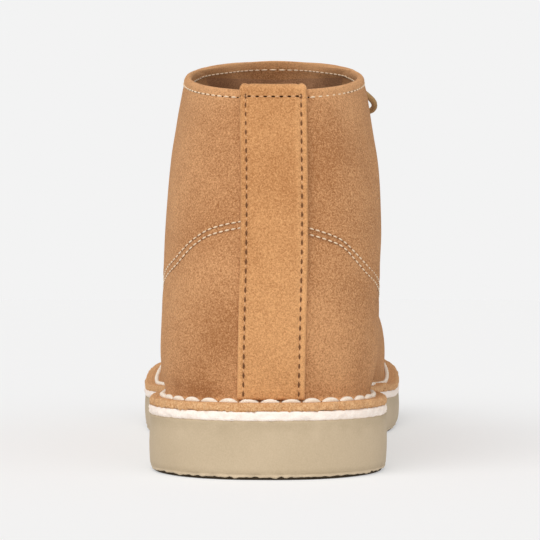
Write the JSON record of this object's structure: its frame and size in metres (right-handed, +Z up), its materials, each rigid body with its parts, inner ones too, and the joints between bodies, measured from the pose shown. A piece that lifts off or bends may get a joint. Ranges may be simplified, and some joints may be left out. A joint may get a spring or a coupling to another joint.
{
  "type": "chukka boot",
  "caption": "Left ankle-high chukka boot: hollow suede upper turned out over a thin midsole, crepe wedge sole, back strap, tongue and a round lace tied in a bow.",
  "frame": {"origin": "on the floor, under the middle of the sole's bounding box", "axes": "+Z up, toe towards -Y, outer (lateral) side of the foot towards +X"},
  "size_m": [0.1116, 0.302, 0.145],
  "materials": {
    "crepe": "matte pale khaki crepe rubber",
    "midsole": "matte off-white fibrous felt",
    "insole": "plain tan leather",
    "suede": "tan suede with a short nap",
    "strap_suede": "slightly yellower tan suede",
    "lace": "round braided cotton, olive tan",
    "lace_tip": "smooth brown wrap"
  },
  "bodies": {
    "root": {"outsole": "crepe", "midsole": "midsole", "insole": "insole", "upper": "suede", "back_strap": "strap_suede", "tongue": "suede", "lace_laced": "lace", "lace_knot": "lace", "lace_loop_outer": "lace", "lace_loop_inner": "lace", "lace_end_outer": "lace", "lace_end_inner": "lace", "lace_tip_outer": "lace_tip", "lace_tip_inner": "lace_tip"}
  },
  "joints": []
}
